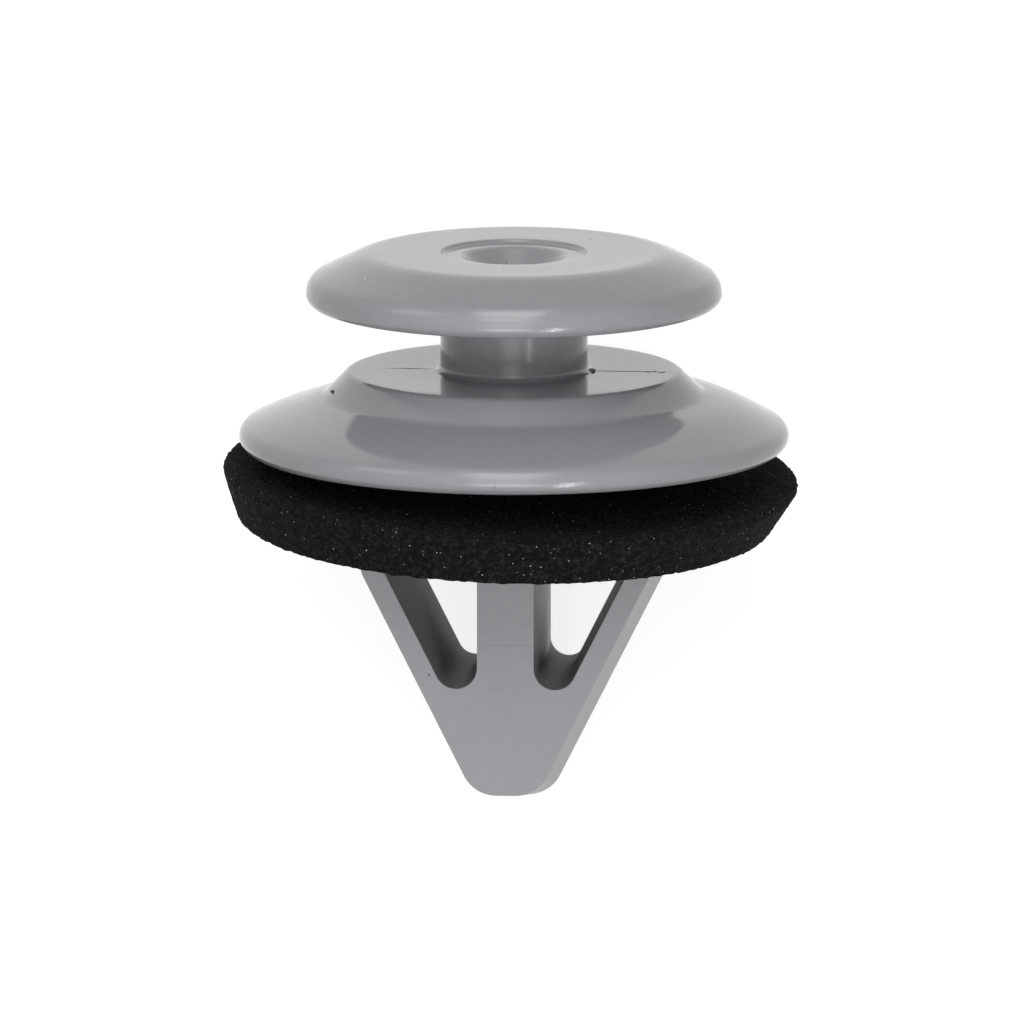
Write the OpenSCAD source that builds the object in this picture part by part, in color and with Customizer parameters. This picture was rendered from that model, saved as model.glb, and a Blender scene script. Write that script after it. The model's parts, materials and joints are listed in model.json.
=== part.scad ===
// Push-in retaining clip for a trim panel, with its foam sealing ring.
// The parts are drawn in the clip's own frame: Z along the axis towards the
// head, zero at the flange's lower edge, and the prong's W face towards -Y.
// The clip is then laid on its back, on the ring's rim and the prong's tip.

/* [Head] */
// Diameter of the head that the trim boss slides under
head_d = 15.2; // [13:0.1:17]
// Thickness of the head
head_t = 1.85; // [1.5:0.05:2.2]
// Slope of the head's upper edge
head_slope = 30.5; // [27:0.5:35]
// Radius of the head's rounded rim
head_rim_r = 0.45; // [0.3:0.05:0.55]
// Blend radius between the flat top and the slope
head_blend_r = 1.5; // [0.5:0.1:2]
// Diameter of the shallow recess in the head
recess_d = 5.4; // [4.6:0.1:6]
// Depth of the shallow recess
recess_depth = 0.2; // [0.1:0.05:0.3]
// Diameter of the funnel's mouth in the recess floor
funnel_d = 3.7; // [3:0.1:4.2]
// Depth of the funnel
funnel_depth = 0.9; // [0.5:0.1:1.2]
// Diameter of the blind core hole under the funnel
core_d = 1.9; // [1.2:0.1:2.6]
// Depth of the core hole under the funnel
core_depth = 2; // [1:0.1:2.5]

/* [Neck] */
// Diameter of the neck
neck_d = 5.36; // [4.8:0.02:6]
// Height of the groove between plateau and head
groove_h = 2.45; // [2:0.05:3.5]
// Fillet radius at both ends of the neck
neck_fillet_r = 0.25; // [0.1:0.05:0.4]

/* [Flange] */
// Diameter of the flange
flange_d = 20; // [19:0.1:22]
// Radius of the flange's rounded rim
flange_rim_r = 0.45; // [0.3:0.05:0.5]
// Slope of the flange's cone
cone_slope = 23; // [20:0.5:25]
// Thickness of the flange's cone
flange_wall = 1.2; // [1:0.05:1.4]
// Diameter of the plateau's foot on the cone
plateau_foot_d = 13.36; // [13:0.02:14]
// Diameter of the plateau's top before its edge is rounded
plateau_d = 12.04; // [11:0.02:12.4]
// Height of the plateau above the flange's lower edge
plateau_h = 2.88; // [2.6:0.02:3.4]
// Radius of the plateau's edge
plateau_edge_r = 0.5; // [0.2:0.05:0.6]
// Radius of the hollow corner at the plateau's foot
plateau_foot_r = 0.4; // [0.2:0.05:0.6]
// Thickness of the plateau
plateau_wall = 1.3; // [1:0.05:1.5]

/* [Prong] */
// Reach of the prong below the flange
prong_len = 12.06; // [11:0.02:14]
// Depth of the prong, front face to back face
prong_depth = 8.7; // [7.5:0.1:9.2]
// Width of the tip before its corners are rounded
tip_w = 3.4; // [3:0.1:4]
// Radius of the tip's corners
tip_r = 1.3; // [0.8:0.1:1.4]
// Radius of the long edges round the front and back faces
face_edge_r = 0.2; // [0.1:0.05:0.3]
// Width across the shoulders that snap behind the panel
shoulder_w = 11.8; // [11.4:0.1:12.6]
// Distance of the shoulders below the flange
shoulder_drop = 3.7; // [3.5:0.05:4.2]
// Radius of the shoulders
shoulder_r = 0.4; // [0.2:0.05:0.5]
// Width across the notch that sits in the panel's hole
notch_w = 9.8; // [9.4:0.1:10.2]
// Distance of the notch below the flange
notch_drop = 2.9; // [2.6:0.05:3.1]
// Width across the legs' free ends
leg_end_w = 8; // [7.8:0.1:8.4]
// Gap between the legs' free ends and the flange
leg_end_gap = 1.2; // [0.8:0.05:1.5]
// Thickness of the legs at the front and back faces
leg_t = 0.75; // [0.65:0.05:0.95]
// Distance below the flange at which the legs' inner faces turn inwards
knee_drop = 3.85; // [3.6:0.05:4.2]
// Draft of the legs' outer faces, from the parting plane to each face
side_draft = 0.56; // [0.3:0.02:0.7]
// Width of the centre post at the front and back faces
post_w = 2.06; // [1.8:0.02:2.4]
// Step by which the post's upper stretch is set back from each face
post_step = 0.08; // [0.04:0.02:0.2]
// Distance of that step below the flange
post_step_drop = 6.5; // [5.5:0.1:7]
// Radius of the slot floors at the front and back faces
slot_r = 0.72; // [0.62:0.02:0.8]
// Draft of the slots, from the parting plane to each face
slot_draft = 0.2; // [0.1:0.02:0.3]

/* [Sealing ring] */
// Diameter of the ring at its widest rim
ring_d = 20.92; // [20:0.02:22]
// Diameter of the ring at its lower edge
ring_low_d = 19.54; // [19:0.02:19.9]
// Thickness of the ring
ring_t = 1.9; // [1.6:0.05:2.2]
// Diameter of the ring's middle, which bulges into the dish under the flange
ring_bulge_d = 12.4; // [11:0.1:13]
// Play between the ring's hole and the notch of the prong
ring_play = 0.2; // [0.15:0.05:0.4]
// Lean of the ring towards the front
ring_lean_front = 3.6; // [2:0.1:4]
// Lean of the ring towards the right
ring_lean_right = 2.35; // [0:0.05:2.6]
// Offset of the ring's centre towards the left
ring_offset = 0.15; // [0:0.01:0.2]
// Clearance between the ring and the flange
ring_gap = 0.05; // [0.02:0.01:0.1]
// Depth of the flat spot that the clip's weight presses into the ring's rim
ring_flat = 0.08; // [0.04:0.01:0.15]

/* [Hidden] */
$fn = 96;
// Facets of a circle inside a hull
hull_fn = 32;
// Overlap that joins solids and carries cuts through a face
lap = 0.05;
// Thickness of the slices that a lofted solid is stretched over
slice_t = 0.02;
// Size of a block that reaches past the whole clip
beyond = 60;
body_colour = "#a3a1a5";
foam_colour = "#1b1b1d";

head_z = plateau_h + groove_h;
head_top_z = head_z + head_t;
head_rim = [head_d / 2 - head_rim_r, head_z + head_rim_r];
// Corners of the head's and the flange's section before they are rounded
head_tip_x = head_rim[0] + head_rim_r / tan(head_slope / 2);
head_flat_x = head_tip_x - head_t / tan(head_slope);
flange_tip_x = flange_d / 2 - flange_rim_r + flange_rim_r / tan(cone_slope / 2);
plateau_foot_z = (flange_tip_x - plateau_foot_d / 2) * tan(cone_slope);
// The hollow under the flange runs parallel to the cone
dish_x = flange_tip_x - flange_wall / sin(cone_slope);
dish_z = plateau_h - plateau_wall;
dish_top_x = dish_x - dish_z / tan(cone_slope);

face_y = prong_depth / 2;
tip = [tip_w / 2, -prong_len];
shoulder = [shoulder_w / 2, -shoulder_drop];
notch = [notch_w / 2, -notch_drop];
leg_end = [leg_end_w / 2, -leg_end_gap];
side_lean = atan2(shoulder[0] - tip[0], shoulder[1] - tip[1]);
post_x = post_w / 2;
// Half width of the post's block, wider than the post that the slots leave
post_block_x = post_x + slot_draft + lap;
// Inner face of a leg at the front and back faces, at the height z
function leg_inner_x(z) =
    shoulder[0] - side_draft - leg_t / cos(side_lean) + (z - shoulder[1]) * tan(side_lean);
slot_floor = [
    post_x + slot_r,
    shoulder[1] + (post_x + slot_r + slot_r / cos(side_lean) - leg_inner_x(shoulder[1]))
        / tan(side_lean)
];

hole_mid_x = notch[0] + ring_play;
hole_face_x = notch[0] - side_draft + ring_play;
hole_face_y = face_y + ring_play;
// The ring's faces droop by its lean, so that its high side lies along the flange
ring_droop = acos(cos(ring_lean_front) * cos(ring_lean_right));
ring_rim_z = -ring_d / 2 * tan(ring_droop);
ring_low_z = ring_rim_z - ring_t;

// Supports of the lying clip in the clip's YZ plane, behind its axis
ring_foot = [
    ring_low_d / 2 * cos(ring_lean_front) - ring_low_z * sin(ring_lean_front),
    ring_low_d / 2 * sin(ring_lean_front) + ring_low_z * cos(ring_lean_front) - ring_gap
];
tip_foot = [face_y - face_edge_r, face_edge_r - prong_len];
support = ring_foot - tip_foot;
// Angle between the axis of the lying clip and the surface
rest_lean = acos((face_edge_r + ring_flat) / norm(support)) - atan2(support[1], support[0]);
down = [cos(rest_lean), -sin(rest_lean)];
along = [sin(rest_lean), cos(rest_lean)];
rest_h = down * tip_foot + face_edge_r;
head_blend = fillet_centre([0, head_top_z], [head_flat_x, head_top_z], [head_tip_x, head_z],
    head_blend_r);
rest_top_y = max(along * head_rim + head_rim_r, along * head_blend + head_blend_r);
tip_front = [-tip_foot[0], tip_foot[1]];
rest_y = (rest_top_y + along * tip_front - face_edge_r) / 2;
rest_x = ring_rim_z * sin(ring_lean_right) - ring_offset;

function unit(v) = v / norm(v);
// Half the angle through which an outline turns at the corner p
function half_turn(a, p, b) = 90 - acos(unit(a - p) * unit(b - p)) / 2;
// Points where a round of radius r at the corner p meets the side towards q
function fillet_end(a, p, b, r, q) = p + r * tan(half_turn(a, p, b)) * unit(q - p);
function fillet_centre(a, p, b, r) =
    p + r / cos(half_turn(a, p, b)) * unit(unit(a - p) + unit(b - p));
function xy(corner) = [corner[0], corner[1]];

// Closed outline through corners [x, y, r], anticlockwise, each rounded by r
module rounded_outline(corners) {
    n = len(corners);
    p = [for (c = corners) xy(c)];
    before = [for (i = [0:n - 1]) p[(i + n - 1) % n]];
    after = [for (i = [0:n - 1]) p[(i + 1) % n]];
    outward = [for (i = [0:n - 1]) cross(p[i] - before[i], after[i] - p[i]) > 0];
    difference() {
        polygon([
            for (i = [0:n - 1])
                each corners[i][2] == 0 ? [p[i]] : [
                    fillet_end(before[i], p[i], after[i], corners[i][2], before[i]),
                    fillet_end(before[i], p[i], after[i], corners[i][2], after[i])
                ]
        ]);
        for (i = [0:n - 1]) {
            if (corners[i][2] > 0 && !outward[i]) {
                translate(fillet_centre(before[i], p[i], after[i], corners[i][2]))
                    circle(corners[i][2]);
            }
        }
    }
    for (i = [0:n - 1]) {
        if (corners[i][2] > 0 && outward[i]) {
            intersection() {
                translate(fillet_centre(before[i], p[i], after[i], corners[i][2]))
                    circle(corners[i][2]);
                polygon([
                    fillet_end(before[i], p[i], after[i], corners[i][2], before[i]),
                    p[i],
                    fillet_end(before[i], p[i], after[i], corners[i][2], after[i])
                ]);
            }
        }
    }
}

// Half section of head, neck, plateau and dished flange
module turned_section() {
    rounded_outline([
        [0, head_top_z, 0],
        [0, dish_z, 0],
        [dish_top_x, dish_z, 0],
        [dish_x, 0, 0],
        [flange_tip_x, 0, flange_rim_r],
        [plateau_foot_d / 2, plateau_foot_z, plateau_foot_r],
        [plateau_d / 2, plateau_h, plateau_edge_r],
        [neck_d / 2, plateau_h, neck_fillet_r],
        [neck_d / 2, head_z, neck_fillet_r],
        [head_tip_x, head_z, head_rim_r],
        [head_flat_x, head_top_z, head_blend_r]
    ]);
}

// Recess, funnel and blind core hole in the head
module head_hollow() {
    funnel_z = head_top_z - recess_depth;
    core_z = funnel_z - funnel_depth;
    translate([0, 0, funnel_z]) cylinder(h = recess_depth + lap, d = recess_d);
    translate([0, 0, core_z]) cylinder(h = funnel_depth + lap, d1 = core_d, d2 = funnel_d);
    translate([0, 0, core_z - core_depth]) cylinder(h = core_depth + lap, d = core_d);
}

// A thin slice across Y, whose outer side lies at y
module slice(y) {
    translate([0, y - sign(y) * slice_t / 2, 0])
        rotate([90, 0, 0])
            linear_extrude(slice_t, center = true)
                children();
}

// Places of the slices that round the long edges of a face: [y, trim]
edge_slices = [
    for (side = [-1, 1], a = [0, 30, 60, 90])
        [side * (face_y - face_edge_r * (1 - sin(a))), face_edge_r * (1 - cos(a))]
];

// Outline of the arrow from its tip to its notch, narrowed by inward on each side
module arrow_outline(inward, trim) {
    tip_centre = fillet_centre([0, tip[1]], tip, shoulder, tip_r);
    shoulder_centre = fillet_centre(tip, shoulder, notch, shoulder_r);
    for (side = [-1, 1]) {
        translate([side * (tip_centre[0] - inward), tip_centre[1]]) circle(tip_r - trim, $fn = hull_fn);
        translate([side * (shoulder_centre[0] - inward), shoulder_centre[1]])
            circle(shoulder_r - trim, $fn = hull_fn);
    }
    top_x = notch[0] - inward - trim;
    polygon([[-top_x, notch[1]], [top_x, notch[1]], [0, shoulder[1]]]);
}

// Arrow block, widest at the parting plane, before the slots are cut
module arrow_block() {
    hull() {
        slice(0) arrow_outline(0, 0);
        for (place = edge_slices) slice(place[0]) arrow_outline(side_draft, place[1]);
    }
}

// Block of the legs' free ends, above the notch
module leg_end_block() {
    module outline(inward, trim) {
        low_x = notch[0] - inward - trim;
        high_x = leg_end[0] - inward - trim;
        polygon([[-low_x, notch[1] - lap], [low_x, notch[1] - lap],
                 [high_x, leg_end[1] - trim], [-high_x, leg_end[1] - trim]]);
    }
    hull() {
        slice(0) outline(0, 0);
        for (place = edge_slices) slice(place[0]) outline(side_draft, place[1]);
    }
}

// One quarter of the slots: the gap between post and leg, from the parting
// plane to the front or back face, where it is widest
module slot_quarter(side, face) {
    module outline(inset) {
        top_x = post_block_x + lap;
        translate([side * slot_floor[0], slot_floor[1]]) circle(slot_r - inset, $fn = hull_fn);
        polygon([
            [side * (post_x + inset), slot_floor[1]],
            [side * (leg_inner_x(-knee_drop) - inset / cos(side_lean)), -knee_drop],
            [side * top_x, dish_z + 2 * lap],
            [side * (post_x + inset), dish_z + 2 * lap]
        ]);
    }
    hull() {
        slice(-face * lap) outline(slot_draft);
        slice(face * (face_y + lap)) outline(0);
    }
}

// The post's upper stretch, which carries the prong under the plateau
module post_block() {
    step_y = face_y - post_step;
    translate([-post_block_x, -step_y, -post_step_drop])
        cube([2 * post_block_x, 2 * step_y, post_step_drop + dish_z + lap]);
}

// Room in front of and behind the post above its step
module post_step_cuts() {
    for (face = [-1, 1]) {
        translate([0, face * (face_y - post_step + beyond / 2), (beyond - 2 * post_step_drop) / 2])
            cube([2 * (post_x + slot_draft), beyond, beyond], center = true);
    }
}

// W-shaped prong: two legs that spring from the tip and a post between them
module prong() {
    difference() {
        union() {
            difference() {
                union() {
                    arrow_block();
                    leg_end_block();
                }
                post_step_cuts();
            }
            post_block();
        }
        for (side = [-1, 1], face = [-1, 1]) slot_quarter(side, face);
    }
}

// Head, neck, plateau and flange, turned about the axis
module turned_body() {
    difference() {
        rotate_extrude() turned_section();
        head_hollow();
    }
}

// Foam disc in its own frame, its faces drooping towards the rim
module foam_disc() {
    rotate_extrude() {
        polygon([
            [0, 0],
            [0, -ring_t],
            [ring_low_d / 2, ring_low_z],
            [ring_d / 2, ring_rim_z],
            [dish_x, -dish_x * tan(ring_droop)],
            [ring_bulge_d / 2, 0]
        ]);
    }
}

// Hole that follows the prong's six-sided section at the notch
module ring_hole() {
    translate([0, 0, -beyond / 2])
        linear_extrude(beyond)
            polygon([
                [hole_mid_x, 0],
                [hole_face_x, hole_face_y],
                [-hole_face_x, hole_face_y],
                [-hole_mid_x, 0],
                [-hole_face_x, -hole_face_y],
                [hole_face_x, -hole_face_y]
            ]);
}

// Lays the clip on its back, with the middle of its footprint at the origin
module lay_down() {
    translate([-rest_x, -rest_y, rest_h])
        rotate([rest_lean - 90, 0, 0])
            children();
}

module clip_body() {
    color(body_colour) {
        lay_down() {
            turned_body();
            prong();
        }
    }
}

module sealing_ring() {
    color(foam_colour) {
        intersection() {
            lay_down() {
                difference() {
                    translate([-ring_offset, 0, -ring_gap])
                        rotate([ring_lean_front, ring_lean_right, 0])
                            foam_disc();
                    ring_hole();
                }
            }
            translate([-beyond / 2, -beyond / 2, 0]) cube(beyond);
        }
    }
}

clip_body();
sealing_ring();
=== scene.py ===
# Retaining clip for a trim panel: the looks of its moulding and its foam sealing ring.
# The clip lies on its back. Its pieces are drawn in the clip's own frame, with Z along the
# axis towards the head and zero at the flange's lower edge, and then laid down with it.
import json
import math

import bmesh
import bpy
from mathutils import Matrix, Vector, noise


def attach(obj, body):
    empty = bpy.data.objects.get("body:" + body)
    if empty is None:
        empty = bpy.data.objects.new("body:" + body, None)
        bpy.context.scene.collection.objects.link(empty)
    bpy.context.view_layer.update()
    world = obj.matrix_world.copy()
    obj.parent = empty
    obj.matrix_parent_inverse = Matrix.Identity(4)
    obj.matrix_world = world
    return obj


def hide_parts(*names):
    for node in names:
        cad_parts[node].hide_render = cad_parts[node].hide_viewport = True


bl_info = {
    "name": "Trim Panel Retaining Clip",
    "version": (1, 0, 0),
    "blender": (4, 5, 0),
    "location": "View3D > Sidebar > Clip",
    "description": "Builds a moulded push-in clip with a foam sealing ring, and its studio",
    "category": "Add Mesh",
}

MM = 0.001
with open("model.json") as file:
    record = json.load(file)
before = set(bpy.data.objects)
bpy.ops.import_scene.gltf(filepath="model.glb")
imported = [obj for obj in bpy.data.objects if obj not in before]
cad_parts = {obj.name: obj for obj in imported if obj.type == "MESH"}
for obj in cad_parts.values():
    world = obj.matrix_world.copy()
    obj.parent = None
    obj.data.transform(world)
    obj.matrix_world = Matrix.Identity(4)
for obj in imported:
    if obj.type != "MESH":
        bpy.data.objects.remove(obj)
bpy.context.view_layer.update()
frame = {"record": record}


def mount(name):
    """The record's mount of that name."""
    return next(m for m in frame["record"]["mounts"] if m["name"] == name)


# The clip's axis in the row, and the notch's distance below the flange's lower edge
CLIP_AXIS = Vector(mount("head_top")["axis"]).normalized()
NOTCH_DROP = 2.9 * MM
# Dark specks and one pale speck on the moulding: place in the clip's frame and radius, in mm. The
# last two darken a nick near the foot of the plateau's left wall
DARK_SPECKS = (
    (2.6, 2.8, 7.24, 0.07), (-1.66, -1.1, 7.1, 0.06), (1.85, -0.7, 7.1, 0.06),
    (-0.1, -3.85, 7.24, 0.05), (-2.78, -4.33, -7.63, 0.04), (-6.48, -1.6, 2.25, 0.08),
    (-6.58, -1.25, 2.2, 0.04),
)
PALE_SPECKS = ((-5.13, -3.7, 6.81, 0.05),)
# Grains of flash left by the mould: place in the clip's frame and half sizes, in mm
FLASH = (
    ((-0.13, -1.88, 7.14), (0.03, 0.04, 0.11)),
    ((2.84, -0.05, 2.92), (0.14, 0.06, 0.07)),
    ((0.03, -9.93, 0.42), (0.025, 0.07, 0.3)),
    ((4.9, -0.06, 2.88), (0.14, 0.03, 0.02)),
    ((5.15, 0.08, 2.88), (0.05, 0.04, 0.02)),
    ((5.42, -0.1, 2.88), (0.12, 0.03, 0.02)),
    ((5.3, -0.25, 2.88), (0.03, 0.09, 0.02)),
    ((-6.52, -1.45, 2.27), (0.09, 0.13, 0.06)),
)
# Places of the prong's two finishes among the moulding's materials, after the polished one
MATTE, CORE = 1, 2
# The clip's own frame in the row, with its zero at the flange's lower edge
CLIP_ORIGIN = Vector(mount("panel_prong")["pos_m"]) + CLIP_AXIS * NOTCH_DROP
CLIP_SIDE = Vector((1, 0, 0))
LAY_DOWN = Matrix.Translation(CLIP_ORIGIN) @ Matrix((
    CLIP_SIDE, CLIP_AXIS.cross(CLIP_SIDE), CLIP_AXIS)).transposed().to_4x4()


def length(name, description, millimetres):
    """A size that a user may change, in metres."""
    return bpy.props.FloatProperty(
        name=name, description=description, default=millimetres * MM, min=0, precision=5,
        subtype="DISTANCE", unit="LENGTH")


def angle(name, description, degrees):
    """An angle that a user may change, in radians."""
    return bpy.props.FloatProperty(
        name=name, description=description, default=math.radians(degrees), subtype="ANGLE",
        unit="ROTATION")


def reach_of_seam(name, description, start, end):
    """Two distances from the axis that a user may change, in metres."""
    return bpy.props.FloatVectorProperty(
        name=name, description=description, default=(start * MM, end * MM), size=2, min=0,
        precision=5, subtype="NONE", unit="LENGTH")


def srgb(code):
    """A linear colour with alpha from an sRGB hex code."""
    channels = [int(code[i:i + 2], 16) / 255 for i in (1, 3, 5)]
    linear = [c / 12.92 if c <= 0.04045 else ((c + 0.055) / 1.055) ** 2.4 for c in channels]
    return (*linear, 1)


def colour(name, description, code):
    """A colour that a user may change."""
    return bpy.props.FloatVectorProperty(
        name=name, description=description, default=srgb(code), size=4, min=0, max=1,
        subtype="COLOR")


class ClipBodySizes(bpy.types.PropertyGroup):
    """Sizes of the moulding"""
    head_low_d: length("Head lower diameter", "Diameter of the underside before rounding", 15.31)
    head_low_r: length("Head lower radius", "Radius of the head's lower edge", 0.41)
    head_fold_d: length("Head fold diameter", "Diameter where slope and rim band meet", 14.97)
    head_fold_h: length("Head fold height", "Height of that fold above the underside", 0.96)
    head_fold_r: length("Head fold radius", "Radius of that fold", 0.71)
    head_flat_d: length("Head flat diameter", "Diameter of the flat top", 10.95)
    head_blend_r: length("Head blend radius", "Blend between flat top and slope", 1.8)
    head_t: length("Head thickness", "Thickness of the head", 1.92)
    recess_d: length("Recess diameter", "Shallow recess in the head", 5.34)
    recess_depth: length("Recess depth", "Depth of the shallow recess", 0.13)
    funnel_d: length("Funnel diameter", "Mouth of the funnel in the recess", 3.7)
    funnel_lip_r: length("Funnel lip radius", "Radius of the funnel's lip", 0.45)
    funnel_depth: length("Funnel depth", "Depth of the funnel", 0.9)
    core_d: length("Core hole diameter", "Blind hole under the funnel", 1.9)
    core_depth: length("Core hole depth", "Depth of the hole under the funnel", 2)
    neck_d: length("Neck diameter", "Diameter of the neck", 5.36)
    groove_h: length("Groove height", "Height between plateau and head", 2.445)
    neck_fillet_r: length("Neck fillet", "Fillets at both ends of the neck", 0.25)
    flange_d: length("Flange diameter", "Diameter of the flange", 20)
    flange_rim_r: length("Flange rim radius", "Radius of the flange's rim", 0.495)
    cone_slope: angle("Cone slope", "Slope of the flange's cone near its rim", 28)
    crown_slope: angle("Crown slope", "Slope of the cone near the plateau", 13.7)
    crown_d: length("Crown diameter", "Where the two slopes blend", 16.79)
    crown_r: length("Crown radius", "Radius of the blend between the slopes", 10.5)
    dish_d: length("Dish diameter", "Diameter of the hollow under the flange", 17.38)
    dish_slope: angle("Dish slope", "Slope of the hollow's wall", 23)
    plateau_foot_d: length("Plateau foot", "Diameter of the plateau's foot", 13.85)
    plateau_d: length("Plateau diameter", "Diameter of the plateau's top", 12.1)
    plateau_h: length("Plateau height", "Height above the flange's lower edge", 2.88)
    plateau_edge_r: length("Plateau edge radius", "Radius of the plateau's edge", 0.4)
    plateau_foot_r: length("Plateau foot radius", "Hollow corner at the plateau's foot", 0.6)
    plateau_wall: length("Plateau wall", "Thickness of the plateau", 1.3)
    seam_h: length("Seam height", "Height of the mould's parting seam", 0.012)
    seam_left: reach_of_seam("Left seam", "Start and end of the plateau's left seam", 3.2, 4.8)
    seam_right: reach_of_seam("Right seam", "Start and end of the right seam", 2.9, 5.7)
    warp: length("Warp", "How much prouder the slopes stand on the right", 0.1)
    moulding_edge_r: length("Small edge radius", "Radius of small moulded edges", 0.08)


class ClipProngSizes(bpy.types.PropertyGroup):
    """Sizes of the prong"""
    prong_len: length("Prong length", "Reach below the flange", 12.06)
    prong_depth: length("Prong depth", "Front face to back face", 8.7)
    tip_w: length("Tip width", "Width before the corners are rounded", 3.4)
    tip_r: length("Tip radius", "Radius of the tip's corners", 1.3)
    tip_drop: length("Tip drop", "How far the tip reaches on at the parting plane", 0.76)
    face_edge_r: length("Face edge radius", "Radius of the edges round the faces", 0.17)
    shoulder_w: length("Shoulder width", "Width across the shoulders", 11.8)
    shoulder_drop: length("Shoulder drop", "Distance below the flange", 3.7)
    shoulder_r: length("Shoulder radius", "Radius of the shoulders", 0.4)
    notch_w: length("Notch width", "Width that sits in the panel's hole", 9.8)
    leg_end_w: length("Leg end width", "Width across the legs' free ends", 8)
    leg_end_gap: length("Leg end gap", "Gap between leg ends and flange", 1.2)
    leg_t: length("Leg thickness", "Thickness of the legs at the faces", 0.75)
    knee_drop: length("Knee drop", "Where the inner faces turn inwards", 3.85)
    side_draft: length("Side draft", "Draft of the outer faces", 0.56)
    post_w: length("Post width", "Width of the post at the faces", 2.06)
    post_step: length("Post step", "Set-back of the post's upper stretch", 0.01)
    post_step_drop: length("Post step drop", "Distance of the step below the flange", 6.5)
    slot_r: length("Slot floor radius", "Radius of the slot floors", 0.72)
    slot_taper: length("Slot taper", "How much rounder the slots are at the front", 0.05)
    slot_draft: length("Slot draft", "Draft of the slots", 0.16)


class FoamRingSizes(bpy.types.PropertyGroup):
    """Sizes of the foam sealing ring"""
    ring_d: length("Diameter", "Diameter at the widest rim", 21.2)
    ring_low_d: length("Lower diameter", "Diameter at the lower edge", 19.54)
    hole_play: length("Hole play", "Play between the hole and the prong", 0.2)
    ring_t: length("Thickness", "Thickness of the ring", 1.9)
    ring_bulge_d: length("Bulge diameter", "Middle that bulges into the dish", 12.4)
    ring_seat_d: length("Seat diameter", "Diameter at which the ring meets the flange", 17.38)
    lean_front: angle("Lean to the front", "How far the ring hangs at the front", 3.6)
    lean_right: angle("Lean to the right", "How far the ring hangs at the right", 2.35)
    offset: length("Offset", "Offset towards the left", 0.06)
    skew: length("Skew", "Offset of the lower face towards the left", 0.22)
    wedge: angle("Wedge", "Angle between the lower face and the upper face", 0.5)
    gap: length("Gap", "Clearance under the flange", 0.05)
    edge_r: length("Edge radius", "Wear of the ring's outer edges", 0.15)
    cell: length("Cell size", "Size of the foam's cells", 0.16)
    tear: length("Tear", "How far the cut faces stand up and pit", 0.07)


class ClipColours(bpy.types.PropertyGroup):
    """Colours of the clip"""
    plastic: colour("Plastic", "Grey of the moulding", "#9b999d")
    plastic_shade: colour("Plastic mottle", "Darker mottle of the moulding", "#939195")
    dark_speck_grey: colour("Specks", "Dark specks in the moulding", "#4a484b")
    pale: colour("Pale speck", "Pale speck in the moulding", "#e4e2e4")
    foam: colour("Foam", "Black of the foam", "#0b0b0c")
    foam_cell: colour("Foam cells", "Lighter cell walls of the foam", "#2e2d2f")
    # A painted highlight: near-white glints painted into the foam's colour
    foam_glint: colour("Foam glints", "Cell skins that catch the light", "#c8c8ca")


def arc(centre, start, end, step=math.radians(6)):
    """Points on the short arc round centre from start to end, both included."""
    a, b = start - centre, end - centre
    turn = a.angle_signed(b)
    count = max(2, math.ceil(abs(turn) / step))
    rotations = [Matrix.Rotation(-turn * i / count, 2) for i in range(count + 1)]
    return [centre + r @ a for r in rotations]


def rounded(corners, closed=False):
    """Points of an outline through corners (x, y, radius), each rounded by its radius."""
    points = []
    for i, (x, y, radius) in enumerate(corners):
        p = Vector((x, y))
        inner = closed or 0 < i < len(corners) - 1
        if radius == 0 or not inner:
            points.append(p)
            continue
        a = (Vector(corners[i - 1][:2]) - p).normalized()
        b = (Vector(corners[(i + 1) % len(corners)][:2]) - p).normalized()
        half = a.angle(b) / 2
        reach = radius / math.tan(half)
        centre = p + (a + b).normalized() * radius / math.sin(half)
        points += arc(centre, p + a * reach, p + b * reach)
    return points


def split_long(points, longest):
    """The same open outline with points added where two lie further apart than longest."""
    result = [points[0]]
    for a, b in zip(points, points[1:]):
        count = max(1, math.ceil((b - a).length / longest))
        result += [a.lerp(b, i / count) for i in range(1, count + 1)]
    return result


def turned(points, angles, shift=None):
    """A bmesh turned about Z from points (radius, z), poles welded. shift moves each point."""
    bm = bmesh.new()
    rings = []
    for p in points:
        ring = []
        for a in angles:
            at = Vector((p.x * math.cos(a), p.x * math.sin(a), p.y))
            ring.append(bm.verts.new(shift(at, a, p) if shift else at))
        rings.append(ring)
    count = len(angles)
    for low, high in zip(rings, rings[1:]):
        for i in range(count):
            j = (i + 1) % count
            bm.faces.new((low[i], low[j], high[j], high[i]))
    return bm, rings


def to_object(bm, name, smooth=math.radians(14)):
    """An object from a bmesh, with edges sharp above the angle smooth."""
    bmesh.ops.remove_doubles(bm, verts=bm.verts, dist=1e-7)
    bmesh.ops.recalc_face_normals(bm, faces=bm.faces)
    mesh = bpy.data.meshes.new(name)
    bm.to_mesh(mesh)
    bm.free()
    mesh.shade_smooth()
    mesh.set_sharp_from_angle(angle=smooth)
    piece = bpy.data.objects.new(name, mesh)
    bpy.context.scene.collection.objects.link(piece)
    return piece


def apply_modifiers(piece):
    """Replaces the mesh by what its modifiers make of it."""
    bpy.context.view_layer.update()
    evaluated = piece.evaluated_get(bpy.context.evaluated_depsgraph_get())
    mesh = bpy.data.meshes.new_from_object(evaluated)
    piece.modifiers.clear()
    old = piece.data
    piece.data = mesh
    bpy.data.meshes.remove(old)


def give_materials(piece, materials):
    """Gives the piece these materials and no others."""
    piece.data.materials.clear()
    for material in materials:
        piece.data.materials.append(material)


def combine(piece, tool, operation):
    """Joins tool to piece, or cuts it out of piece, and removes the tool."""
    modifier = piece.modifiers.new(operation, "BOOLEAN")
    modifier.operation = operation
    modifier.solver = "EXACT"
    modifier.object = tool
    apply_modifiers(piece)
    bpy.data.objects.remove(tool)


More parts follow.
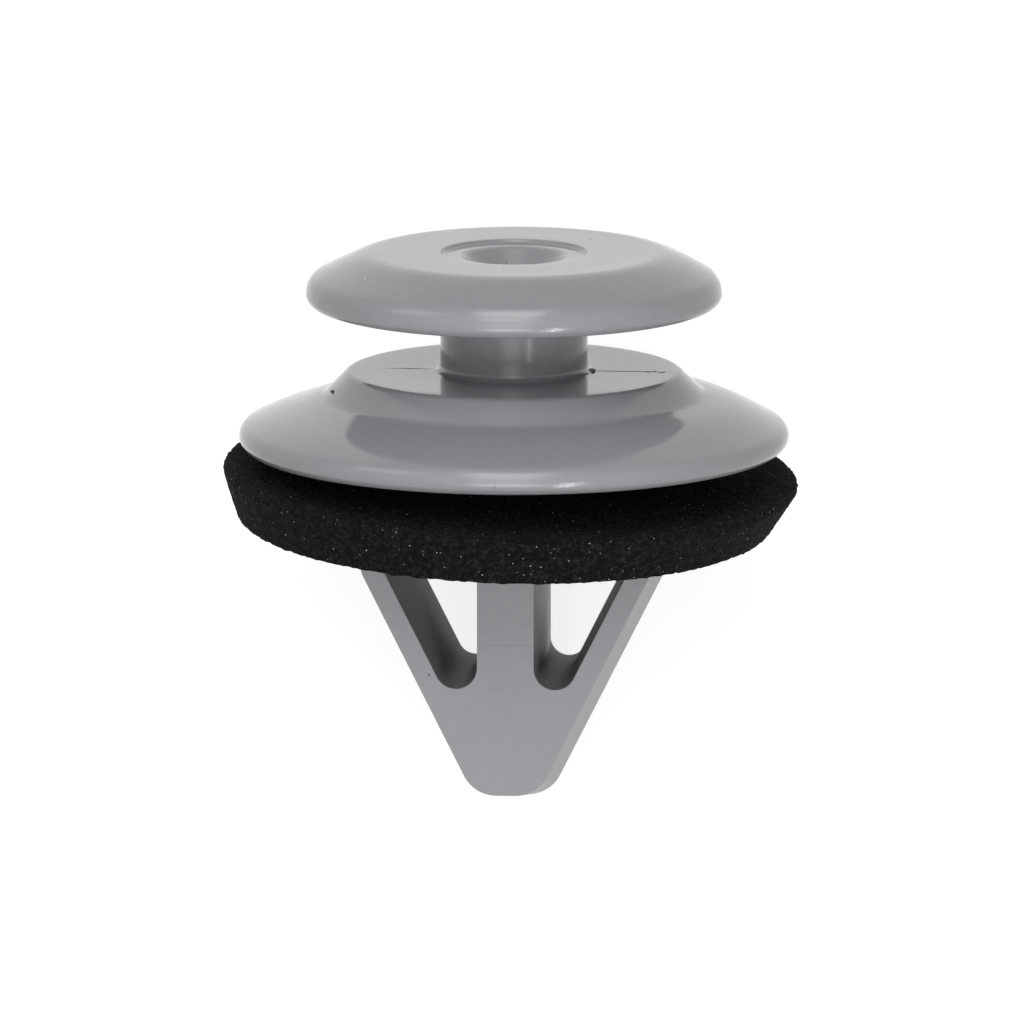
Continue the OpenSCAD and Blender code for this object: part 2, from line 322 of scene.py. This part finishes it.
def span(slices, name):
    """The convex solid over slices [(y, [(x, z), ...]), ...]."""
    bm = bmesh.new()
    for y, outline in slices:
        for x, z in outline:
            bm.verts.new((x, y, z))
    hull = bmesh.ops.convex_hull(bm, input=bm.verts)
    inside = set(hull["geom_interior"] + hull["geom_unused"])
    loose = [g for g in inside if isinstance(g, bmesh.types.BMVert)]
    bmesh.ops.delete(bm, geom=loose, context="VERTS")
    bmesh.ops.dissolve_limit(bm, angle_limit=math.radians(0.5), verts=bm.verts, edges=bm.edges)
    return to_object(bm, name)


def loft(slices, name):
    """The solid through slices [(y, [(x, z), ...]), ...] with equally many points each."""
    bm = bmesh.new()
    rings = [[bm.verts.new((x, y, z)) for x, z in outline] for y, outline in slices]
    count = len(rings[0])
    for near, far in zip(rings, rings[1:]):
        for i in range(count):
            j = (i + 1) % count
            bm.faces.new((near[i], near[j], far[j], far[i]))
    for end in (rings[0], rings[-1]):
        bm.faces.new(end)
    return to_object(bm, name)


def block(name, low, high):
    """A box between two corners."""
    bm = bmesh.new()
    bmesh.ops.create_cube(bm, size=1)
    size = Vector(high) - Vector(low)
    for v in bm.verts:
        v.co = Vector(low) + Vector((v.co[i] + 0.5) * size[i] for i in range(3))
    return to_object(bm, name)


def body_profile(s):
    """Half section of head, neck and dished flange, from the dish's middle to the core hole."""
    head_z = s.plateau_h + s.groove_h
    top = head_z + s.head_t
    rim_x = s.flange_d / 2 - s.flange_rim_r + s.flange_rim_r / math.tan(s.cone_slope / 2)
    crown_z = (rim_x - s.crown_d / 2) * math.tan(s.cone_slope)
    foot_z = crown_z + (s.crown_d - s.plateau_foot_d) / 2 * math.tan(s.crown_slope)
    dish_x = s.dish_d / 2
    dish_z = s.plateau_h - s.plateau_wall
    funnel_z = top - s.recess_depth
    core_z = funnel_z - s.funnel_depth
    edge = s.moulding_edge_r
    return rounded([
        (0, dish_z, 0),
        (dish_x - dish_z / math.tan(s.dish_slope), dish_z, 2 * edge),
        (dish_x, 0, 2 * edge),
        (rim_x, 0, s.flange_rim_r),
        (s.crown_d / 2, crown_z, s.crown_r),
        (s.plateau_foot_d / 2, foot_z, s.plateau_foot_r),
        (s.plateau_d / 2, s.plateau_h, s.plateau_edge_r),
        (s.neck_d / 2, s.plateau_h, s.neck_fillet_r),
        (s.neck_d / 2, head_z, s.neck_fillet_r),
        (s.head_low_d / 2, head_z, s.head_low_r),
        (s.head_fold_d / 2, head_z + s.head_fold_h, s.head_fold_r),
        (s.head_flat_d / 2, top, s.head_blend_r),
        (s.recess_d / 2, top, edge),
        (s.recess_d / 2 - edge, funnel_z, 2 * edge),
        (s.funnel_d / 2, funnel_z, s.funnel_lip_r),
        (s.core_d / 2, core_z, 3 * edge),
        (s.core_d / 2, core_z - s.core_depth, edge),
        (0, core_z - s.core_depth, 0),
    ])


def turned_body(s):
    """Head, neck and flange, warped a little, with the mould's parting seam on the plateau."""
    steps = 224
    seam_half = math.radians(0.45)
    angles = sorted(
        [2 * math.pi * (i + 0.5) / steps for i in range(steps)]
        + [side + seam_half * i for side in (0, math.pi) for i in range(-2, 3)])
    head_mid = s.plateau_h + s.groove_h + s.head_t / 2
    cone_low, cone_top = 1 * MM, s.plateau_h - 0.3 * MM
    cone_r, cone_reach = 8 * MM, 1.6 * MM
    slope_r, slope_reach = 6.3 * MM, 1.4 * MM

    def mark(at, a, p):
        """Warps the cone and the head's slope, prouder on the right, and raises the seam."""
        right = math.cos(a)
        if cone_low < at.z < cone_top:
            at.z += s.warp * right * max(0, 1 - abs(p.x - cone_r) / cone_reach)
        if at.z > head_mid:
            at.z += s.warp * (1 + right) / 2 * max(0, 1 - abs(p.x - slope_r) / slope_reach)
        start, end = (s.seam_left if at.x < 0 else s.seam_right)
        if abs(at.z - s.plateau_h) < s.seam_h and start < p.x < end:
            at.z += s.seam_h * (1 - min(abs(math.sin(a)) / math.sin(seam_half), 1))
        return at

    bm, _ = turned(split_long(body_profile(s), 0.5 * MM), angles, mark)
    return to_object(bm, "turned_body")


def add_flash(piece):
    """Adds the grains of flash to the piece, half sunk into its surface."""
    bm = bmesh.new()
    bm.from_mesh(piece.data)
    for place, half in FLASH:
        fit = Matrix.Translation(Vector(place) * MM) @ Matrix.Diagonal((*(Vector(half) * MM), 1))
        bmesh.ops.create_icosphere(bm, subdivisions=2, radius=1, matrix=fit)
    bm.to_mesh(piece.data)
    bm.free()


def rounded_arrow(s, notch, inward, drop):
    """Outline of the arrow from tip to notch, narrowed on each side and lengthened by drop."""
    lean = math.atan2(s.shoulder_w / 2 - s.tip_w / 2, s.prong_len - s.shoulder_drop)
    right = [
        (s.tip_w / 2 - inward - drop * math.tan(lean), -s.prong_len - drop, s.tip_r),
        (s.shoulder_w / 2 - inward, -s.shoulder_drop, s.shoulder_r),
        (notch[0] - inward, notch[1], 0),
    ]
    left = [(-x, z, r) for x, z, r in reversed(right)]
    return [tuple(p) for p in rounded(right + left, closed=True)]


def prong(s, dish_z, finishes):
    """W-shaped prong: two legs that spring from the tip and a post between them."""
    lap = 0.05 * MM
    face = s.prong_depth / 2
    notch = (s.notch_w / 2, -NOTCH_DROP)
    leg_end = (s.leg_end_w / 2, -s.leg_end_gap)
    lean = math.atan2(s.shoulder_w / 2 - s.tip_w / 2, s.prong_len - s.shoulder_drop)
    post_x = s.post_w / 2
    block_x = post_x + s.slot_draft + lap
    floor_steps = 24

    def matte(blank):
        """Gives all faces the matte finish."""
        give_materials(blank, finishes)
        blank.data.polygons.foreach_set("material_index", [MATTE] * len(blank.data.polygons))

    def leg_inner_x(z):
        """Inner face of the right leg at height z, where the slot is widest."""
        return (s.shoulder_w / 2 - s.side_draft - s.leg_t / math.cos(lean)
                + (z + s.shoulder_drop) * math.tan(lean))

    def leg_ends(inward):
        """Corners of both legs between the notch and the free end, narrowed on each side."""
        return [(side * (x - inward), z) for side in (-1, 1)
                for x, z in ((notch[0], notch[1] - lap), leg_end)]

    arrow = span([(0, rounded_arrow(s, notch, 0, s.tip_drop))]
                 + [(y, rounded_arrow(s, notch, s.side_draft, 0)) for y in (-face, face)], "prong")
    ends = span([(0, leg_ends(0))] + [(y, leg_ends(s.side_draft)) for y in (-face, face)],
                "leg_ends")
    for blank in (arrow, ends):
        matte(blank)
    combine(arrow, ends, "UNION")
    step_y = face - s.post_step
    for side in (-1, 1):
        near, far = sorted((side * step_y, side * (face + 1 * MM)))
        step = block("post_step", (-block_x, near, -s.post_step_drop), (block_x, far, 0))
        matte(step)
        combine(arrow, step, "DIFFERENCE")
    post = block("post", (-block_x, -step_y + lap / 10, -s.shoulder_drop),
                 (block_x, step_y - lap / 10, dish_z + lap))
    matte(post)
    combine(arrow, post, "UNION")

    def slot(side, y):
        """Slot outline at y: down the post, round the floor, up the leg and back to the top."""
        inset = s.slot_draft * (1 - abs(y) / face)
        widest = s.slot_r - s.slot_taper * y / face
        floor_x = post_x + widest
        floor_z = -s.shoulder_drop + (
            floor_x + widest / math.cos(lean) - leg_inner_x(-s.shoulder_drop)) / math.tan(lean)
        radius = widest - inset
        turns = [-math.pi + (math.pi - lean) * i / floor_steps for i in range(floor_steps + 1)]
        floor = [(floor_x + radius * math.cos(a), floor_z + radius * math.sin(a)) for a in turns]
        top_z = dish_z + 2 * lap
        outline = [(post_x + inset, top_z)] + floor + [
            (leg_inner_x(-s.knee_drop) - inset / math.cos(lean), -s.knee_drop),
            (block_x + lap, top_z)]
        return y, [(side * x, z) for x, z in outline]

    for side in (-1, 1):
        depths = (-face - lap, -face / 2, 0, face / 2, face + lap)
        tool = loft([slot(side, y) for y in depths], "slot")
        give_materials(tool, finishes)
        # The post's own sides are as smooth as the prong's outside
        for polygon in tool.data.polygons:
            polygon.material_index = MATTE if abs(polygon.normal.x) > 0.97 else CORE
        combine(arrow, tool, "DIFFERENCE")
    bevel = arrow.modifiers.new("moulded_edges", "BEVEL")
    bevel.width = s.face_edge_r
    bevel.segments = 4
    bevel.limit_method = "ANGLE"
    bevel.angle_limit = math.radians(34)
    bevel.use_clamp_overlap = True
    apply_modifiers(arrow)
    return arrow


def hole_walls(s, play):
    """Walls (normal, distance) of the foam's hole, which follows the prong's notch."""
    middle = Vector((s.notch_w / 2 + play, 0))
    corner = Vector((middle.x - s.side_draft, s.prong_depth / 2 + play))
    normal = Vector((corner.y, s.side_draft)).normalized()
    sides = [(Vector((x * normal.x, y * normal.y)), normal.dot(middle))
             for x in (-1, 1) for y in (-1, 1)]
    return sides + [(Vector((0, y)), corner.y) for y in (-1, 1)]


def reach(walls, hang, a, z):
    """Distance from the hung ring's axis to the walls, at height z and towards angle a."""
    start = (hang @ Vector((0, 0, z))).xy
    way = (hang.to_3x3() @ Vector((math.cos(a), math.sin(a), 0))).xy
    return min((d - n.dot(start)) / n.dot(way) for n, d in walls if n.dot(way) > 0)


def add_node(tree, kind, settings=None, **inputs):
    """A shader node with its settings, and its inputs set to a value or linked to a socket."""
    node = tree.nodes.new(kind)
    for key, value in (settings or {}).items():
        setattr(node, key, value)
    for key, value in inputs.items():
        socket = node.inputs[int(key[1:]) if key[0] == "i" and key[1:].isdigit()
                             else key.replace("_", " ")]
        if isinstance(value, bpy.types.NodeSocket):
            tree.links.new(value, socket)
        else:
            socket.default_value = value
    return node


def new_material(name):
    """An empty node material, its tree and its output."""
    material = bpy.data.materials.new(name)
    material.use_nodes = True
    material.node_tree.nodes.clear()
    output = material.node_tree.nodes.new("ShaderNodeOutputMaterial")
    return material, material.node_tree, output


def speck_mask(tree, place, specks):
    """A socket that is 1 within the given specks (x, y, z, radius in mm in the clip's frame)."""
    found = None
    for x, y, z, radius in specks:
        centre = LAY_DOWN @ (Vector((x, y, z)) * MM)
        away = add_node(tree, "ShaderNodeVectorMath", {"operation": "DISTANCE"}, i0=place,
                        i1=tuple(centre)).outputs["Value"]
        hit = add_node(tree, "ShaderNodeMath", {"operation": "LESS_THAN"}, i0=away,
                       i1=radius * MM).outputs[0]
        found = hit if found is None else add_node(
            tree, "ShaderNodeMath", {"operation": "MAXIMUM"}, i0=found, i1=hit).outputs[0]
    return found


def moulded_acetal(c, name, face_on, grazing, shine):
    """Moulded acetal: a hard satin plastic with a soft sheen, a faint mottle and stray specks.

    Its fine grain scatters light that it meets face on, and mirrors light that grazes it.
    """
    material, tree, output = new_material(name)
    place = add_node(tree, "ShaderNodeTexCoord").outputs["Object"]
    # Mottle a few tenths of a millimetre wide, from the flow of the melt
    mottle = add_node(tree, "ShaderNodeTexNoise", Vector=place, Scale=2600.0, Detail=4.0).outputs[0]
    # Cloudy patches about 3 mm wide
    cloud = add_node(tree, "ShaderNodeTexNoise", Vector=place, Scale=330.0, Detail=2.0).outputs[0]
    base = add_node(tree, "ShaderNodeMix", {"data_type": "RGBA"}, Factor=mottle,
                    i6=tuple(c.plastic), i7=tuple(c.plastic_shade)).outputs[2]
    # Dark specks under a tenth of a millimetre, a few on each square centimetre
    cells = add_node(tree, "ShaderNodeTexVoronoi", Vector=place, Scale=700.0)
    speck_near = add_node(tree, "ShaderNodeMath", {"operation": "LESS_THAN"},
                          i0=cells.outputs["Distance"], i1=0.055).outputs[0]
    chosen = add_node(tree, "ShaderNodeSeparateColor", Color=cells.outputs["Color"]).outputs[0]
    rare = add_node(tree, "ShaderNodeMath", {"operation": "GREATER_THAN"}, i0=chosen,
                    i1=0.99).outputs[0]
    stray = add_node(tree, "ShaderNodeMath", {"operation": "MULTIPLY"}, i0=speck_near,
                     i1=rare).outputs[0]
    # The specks that have their own place, with an uneven edge
    shake = add_node(tree, "ShaderNodeTexNoise", Vector=place, Scale=12000.0).outputs["Color"]
    uneven = add_node(tree, "ShaderNodeVectorMath", {"operation": "MULTIPLY_ADD"}, i0=shake,
                      i1=(0.06 * MM,) * 3, i2=place).outputs[0]
    centred = add_node(tree, "ShaderNodeVectorMath", {"operation": "SUBTRACT"}, i0=uneven,
                       i1=(0.03 * MM,) * 3).outputs[0]
    placed = speck_mask(tree, centred, DARK_SPECKS)
    speck = add_node(tree, "ShaderNodeMath", {"operation": "MAXIMUM"}, i0=stray,
                     i1=placed).outputs[0]
    dark = add_node(tree, "ShaderNodeMix", {"data_type": "RGBA"}, Factor=speck, i6=base,
                    i7=tuple(c.dark_speck_grey)).outputs[2]
    tint = add_node(tree, "ShaderNodeMix", {"data_type": "RGBA"},
                    Factor=speck_mask(tree, centred, PALE_SPECKS), i6=dark,
                    i7=tuple(c.pale)).outputs[2]
    tilt = add_node(tree, "ShaderNodeLayerWeight", Blend=0.5).outputs["Facing"]
    even = add_node(tree, "ShaderNodeMapRange", Value=tilt, From_Min=0.08, From_Max=0.42,
                    To_Min=face_on, To_Max=grazing).outputs[0]
    gloss = add_node(tree, "ShaderNodeMath", {"operation": "MULTIPLY_ADD"}, i0=cloud, i1=0.06,
                     i2=even).outputs[0]
    # Shallow waves of the moulded skin, about 0.4 mm apart
    skin = add_node(tree, "ShaderNodeTexNoise", Vector=place, Scale=2400.0, Detail=3.0).outputs[0]
    waves = add_node(tree, "ShaderNodeBump", Strength=0.12, Distance=0.02 * MM,
                     Height=skin).outputs[0]
    # Fine grain of the mould's steel, which breaks highlights into glints
    grain = add_node(tree, "ShaderNodeTexNoise", Vector=place, Scale=9000.0, Detail=2.0).outputs[0]
    bump = add_node(tree, "ShaderNodeBump", Strength=0.4, Distance=0.008 * MM, Height=grain,
                    Normal=waves).outputs[0]
    shader = add_node(tree, "ShaderNodeBsdfPrincipled", Base_Color=tint, Roughness=gloss, IOR=1.48,
                      Normal=bump)
    shader.inputs["Specular IOR Level"].default_value = shine
    shader.inputs["Subsurface Weight"].default_value = 0.08
    shader.inputs["Subsurface Radius"].default_value = (1, 1, 1)
    shader.inputs["Subsurface Scale"].default_value = 0.3 * MM
    tree.links.new(shader.outputs[0], output.inputs["Surface"])
    return material


def cut_foam_rubber(c):
    """Closed-cell foam rubber, cut: a matte grain of opened cells with a few painted glints of
    near-white in its colour.
    """
    material, tree, output = new_material("cut_foam_rubber")
    place = add_node(tree, "ShaderNodeTexCoord").outputs["Object"]
    # Opened cells about 0.1 mm wide, darker in their depth
    cells = add_node(tree, "ShaderNodeTexVoronoi", Vector=place, Scale=9500.0)
    # Torn cell walls, as wide as the cells
    walls = add_node(tree, "ShaderNodeTexNoise", Vector=place, Scale=10000.0, Detail=3.0).outputs[0]
    # Denser and looser patches about a quarter of a millimetre wide
    patches = add_node(tree, "ShaderNodeTexNoise", Vector=place, Scale=4500.0,
                       Detail=2.0).outputs[0]
    height = add_node(tree, "ShaderNodeMath", {"operation": "MULTIPLY"}, i0=walls,
                      i1=patches).outputs[0]
    pale = add_node(tree, "ShaderNodeMapRange", Value=height, From_Min=0.2,
                    From_Max=0.48).outputs[0]
    base = add_node(tree, "ShaderNodeMix", {"data_type": "RGBA"}, Factor=pale, i6=tuple(c.foam),
                    i7=tuple(c.foam_cell)).outputs[2]
    bump = add_node(tree, "ShaderNodeBump", Strength=1.0, Distance=0.05 * MM,
                    Height=cells.outputs["Distance"]).outputs[0]
    # Painted glints: a few spots 0.05 mm wide, some weakly, take a near-white colour where flat
    # cell skins would catch the light
    skins = add_node(tree, "ShaderNodeTexVoronoi", Vector=place, Scale=8000.0)
    pick = add_node(tree, "ShaderNodeSeparateColor", Color=skins.outputs["Color"]).outputs
    bright = add_node(tree, "ShaderNodeMapRange", Value=pick[0], From_Min=0.9,
                      From_Max=1.0).outputs[0]
    near = add_node(tree, "ShaderNodeMath", {"operation": "LESS_THAN"},
                    i0=skins.outputs["Distance"], i1=0.2).outputs[0]
    glint = add_node(tree, "ShaderNodeMath", {"operation": "MULTIPLY"}, i0=bright,
                     i1=near).outputs[0]
    tint = add_node(tree, "ShaderNodeMix", {"data_type": "RGBA"}, Factor=glint, i6=base,
                    i7=tuple(c.foam_glint)).outputs[2]
    shader = add_node(tree, "ShaderNodeBsdfPrincipled", Base_Color=tint, Roughness=0.9, IOR=1.5,
                      Normal=bump)
    shader.inputs["Specular IOR Level"].default_value = 0.08
    tree.links.new(shader.outputs[0], output.inputs["Surface"])
    return material


def dress(piece, node):
    """Lays the piece down on the floor and lets it stand for its CAD node."""
    piece.data.transform(LAY_DOWN)
    for v in piece.data.vertices:
        v.co.z = max(v.co.z, 0)
    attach(piece, "root")
    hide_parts(node)


class CLIP_OT_moulding(bpy.types.Operator):
    """Build the moulded clip body: head, neck, flange and W-shaped prong"""
    bl_idname = "clip.moulding"
    bl_label = "Moulding"

    def execute(self, context):
        body = context.scene.clip_body
        colours = context.scene.clip_colours
        # Head and flange are polished, the prong is matte, and rough cores form its slots
        finishes = (moulded_acetal(colours, "polished_moulded_acetal", 0.17, 0.06, 0.5),
                    moulded_acetal(colours, "matte_moulded_acetal", 0.45, 0.36, 0.35),
                    moulded_acetal(colours, "core_moulded_acetal", 0.55, 0.55, 0.35))
        piece = turned_body(body)
        give_materials(piece, finishes)
        arrow = prong(context.scene.clip_prong, body.plateau_h - body.plateau_wall, finishes)
        combine(piece, arrow, "UNION")
        add_flash(piece)
        piece.name = piece.data.name = "moulding"
        piece.data.shade_smooth()
        piece.data.set_sharp_from_angle(angle=math.radians(32))
        even = piece.modifiers.new("even_shading", "WEIGHTED_NORMAL")
        even.weight = 100
        even.keep_sharp = True
        apply_modifiers(piece)
        dress(piece, "clip_body")
        return {"FINISHED"}


class CLIP_OT_foam_ring(bpy.types.Operator):
    """Build the foam sealing ring with its cut, open-celled faces"""
    bl_idname = "clip.foam_ring"
    bl_label = "Foam ring"

    def execute(self, context):
        s = context.scene.clip_foam
        walls = hole_walls(context.scene.clip_prong, s.hole_play)
        hang = (Matrix.Translation((-s.offset, 0, -s.gap))
                @ Matrix.Rotation(s.lean_right, 4, "Y") @ Matrix.Rotation(s.lean_front, 4, "X"))
        droop = math.tan(math.acos(math.cos(s.lean_front) * math.cos(s.lean_right)))
        rim, low, seat, bulge = (
            d / 2 for d in (s.ring_d, s.ring_low_d, s.ring_seat_d, s.ring_bulge_d))
        hole = low / 2
        # Section of the ring, with heights above its lower face
        outline = rounded([
            (hole, s.ring_t - s.tear, 0), (rim - s.tear, s.ring_t - s.tear, s.edge_r),
            (low - s.tear, s.tear, s.edge_r), (hole, s.tear, 0), (hole, s.ring_t - s.tear, 0)])
        profile = split_long(outline, s.cell)[:-1]
        steps = math.ceil(2 * math.pi * rim / s.cell)
        angles = [2 * math.pi * i / steps for i in range(steps)]

        def height(r, share):
            """Height of a point at radius r, at a share of the way up from the lower face."""
            risen = min(max((seat - r) / (seat - bulge), 0), 1)
            lower = -s.ring_t - r * droop * rim / low
            return lower + share * (-max(r, seat) * droop + risen * seat * droop - lower)

        def torn(at, a, p):
            """Fits the point between hole and rim, skews it and tears it out of place."""
            share = p.y / s.ring_t
            wall = reach(walls, hang, a, height(hole, share)) + s.tear
            r = p.x + (wall - hole) * max(0, (low - p.x) / (low - hole))
            at = Vector((r * math.cos(a), r * math.sin(a), height(r, share)))
            at += Vector((-s.skew, 0, at.x * math.tan(s.wedge))) * (1 - share)
            # Tears about three cells wide, and pits as wide as one
            coarse = noise.noise_vector(at / (3.2 * s.cell)) * 0.45
            fine = noise.noise_vector(at / (0.9 * s.cell)) * 0.55
            return at + (coarse + fine) * s.tear

        # The noise would start from the clock without a seed of its own
        noise.seed_set(1)
        bm, rings = turned(profile, angles, torn)
        for i in range(steps):
            j = (i + 1) % steps
            bm.faces.new((rings[-1][i], rings[-1][j], rings[0][j], rings[0][i]))
        bmesh.ops.transform(bm, matrix=hang, verts=bm.verts)
        piece = to_object(bm, "foam_ring", math.radians(180))
        give_materials(piece, [cut_foam_rubber(context.scene.clip_colours)])
        dress(piece, "sealing_ring")
        return {"FINISHED"}


class CLIP_OT_studio(bpy.types.Operator):
    """Build the floor, the lights and the camera"""
    bl_idname = "clip.studio"
    bl_label = "Studio"

    def execute(self, context):
        scene = context.scene
        scene.view_settings.view_transform = "Standard"
        self.floor()
        self.world(scene)
        # The middle of the picture
        target = LAY_DOWN @ Vector((0, 0, -2.3 * MM))
        # Name, place in the clip's frame and size in millimetres, and watts
        lamps = (
            ("front_softbox", (0, -448, 37), (200, 200), 0.25),
            ("low_softbox", (0, -245, -116), (120, 120), 0.21),
            ("upper_softbox", (0, -221, 153), (120, 120), 0.15),
            ("high_softbox", (0, -127, 236), (120, 120), 0.19),
            ("top_softbox", (0, -19, 267), (120, 120), 0.04),
            ("left_softbox", (-174, -100, 178), (120, 120), 0.07),
            ("strip_lamp", (116, -218, -134), (4, 180), 0.22),
        )
        for name, place, size, watts in lamps:
            lamp = bpy.data.lights.new(name, "AREA")
            lamp.shape = "RECTANGLE"
            lamp.size, lamp.size_y = size[0] * MM, size[1] * MM
            lamp.energy = watts
            holder = bpy.data.objects.new(name, lamp)
            holder.location = LAY_DOWN @ (Vector(place) * MM)
            away = (holder.location - target).normalized()
            side = CLIP_AXIS.cross(away).normalized()
            axes = Matrix((side, away.cross(side), away)).transposed()
            holder.rotation_euler = axes.to_euler()
            scene.collection.objects.link(holder)
        self.camera(scene, target)
        return {"FINISHED"}

    def floor(self):
        """A pale sheet that looks white and keeps the clip's soft shadow."""
        bm = bmesh.new()
        bmesh.ops.create_grid(bm, x_segments=1, y_segments=1, size=1.5)
        mesh = bpy.data.meshes.new("floor")
        bm.to_mesh(mesh)
        bm.free()
        sheet = bpy.data.objects.new("floor", mesh)
        # A hair below the spots that the clip rests on, so that no two faces share a plane
        sheet.location.z = -0.02 * MM
        bpy.context.scene.collection.objects.link(sheet)
        material, tree, output = new_material("pale_card")
        card = add_node(tree, "ShaderNodeBsdfDiffuse", Color=srgb("#989898"))
        glow = add_node(tree, "ShaderNodeEmission", Color=srgb("#ffffff"), Strength=0.84)
        both = add_node(tree, "ShaderNodeAddShader", i0=card.outputs[0], i1=glow.outputs[0])
        choice = add_node(tree, "ShaderNodeMixShader", i0=self.in_view(tree), i1=card.outputs[0],
                          i2=both.outputs[0])
        tree.links.new(choice.outputs[0], output.inputs["Surface"])
        sheet.data.materials.append(material)

    def world(self, scene):
        """Plain surroundings: white to look at, and a weak light."""
        world = bpy.data.worlds.new("studio")
        world.use_nodes = True
        tree = world.node_tree
        tree.nodes.clear()
        dim = add_node(tree, "ShaderNodeBackground", Color=srgb("#ffffff"), Strength=0.12)
        white = add_node(tree, "ShaderNodeBackground", Color=srgb("#ffffff"), Strength=1.0)
        choice = add_node(tree, "ShaderNodeMixShader", i0=self.in_view(tree), i1=dim.outputs[0],
                          i2=white.outputs[0])
        output = tree.nodes.new("ShaderNodeOutputWorld")
        tree.links.new(choice.outputs[0], output.inputs["Surface"])
        scene.world = world

    def in_view(self, tree):
        """A socket that is 1 for what the camera sees, itself, mirrored or through glass."""
        path = add_node(tree, "ShaderNodeLightPath").outputs
        mirrored = add_node(tree, "ShaderNodeMath", {"operation": "MAXIMUM"},
                            i0=path["Is Glossy Ray"], i1=path["Is Transmission Ray"]).outputs[0]
        return add_node(tree, "ShaderNodeMath", {"operation": "MAXIMUM"}, i0=path["Is Camera Ray"],
                        i1=mirrored).outputs[0]

    def camera(self, scene, target):
        """Looks at the prong's front face from a little above the flange, as in the photograph."""
        azimuth, elevation = math.radians(4.2), math.radians(10.4)
        distance, shift = 1.2, 0.145 * MM
        back = Vector((math.sin(azimuth) * math.cos(elevation),
                       -math.cos(azimuth) * math.cos(elevation), math.sin(elevation)))
        turn = LAY_DOWN.to_3x3()
        lens = bpy.data.cameras.new("camera")
        # A long lens, in millimetres, because the picture has hardly any perspective
        lens.sensor_width = 36
        lens.lens = 1164
        holder = bpy.data.objects.new("camera", lens)
        right = Vector((0, 0, 1)).cross(back).normalized()
        up = back.cross(right)
        axes = Matrix((turn @ right, turn @ up, turn @ back)).transposed().to_4x4()
        holder.matrix_world = Matrix.Translation(
            target + turn @ (back * distance - right * shift)) @ axes
        scene.collection.objects.link(holder)
        scene.camera = holder


class CLIP_PT_panel(bpy.types.Panel):
    """Builders for the retaining clip"""
    bl_label = "Retaining Clip"
    bl_idname = "CLIP_PT_panel"
    bl_space_type = "VIEW_3D"
    bl_region_type = "UI"
    bl_category = "Clip"

    def draw(self, context):
        for builder in BUILDERS:
            self.layout.operator(builder.bl_idname)


GROUPS = {
    "clip_body": ClipBodySizes,
    "clip_prong": ClipProngSizes,
    "clip_foam": FoamRingSizes,
    "clip_colours": ClipColours,
}
BUILDERS = (CLIP_OT_moulding, CLIP_OT_foam_ring, CLIP_OT_studio)
CLASSES = (*GROUPS.values(), *BUILDERS, CLIP_PT_panel)


def register():
    for cls in CLASSES:
        bpy.utils.register_class(cls)
    for name, group in GROUPS.items():
        setattr(bpy.types.Scene, name, bpy.props.PointerProperty(type=group))


def unregister():
    for name in GROUPS:
        delattr(bpy.types.Scene, name)
    for cls in reversed(CLASSES):
        bpy.utils.unregister_class(cls)


def main():
    register()
    bpy.ops.clip.moulding()
    bpy.ops.clip.foam_ring()
    bpy.ops.clip.studio()


if __name__ == "__main__":
    main()
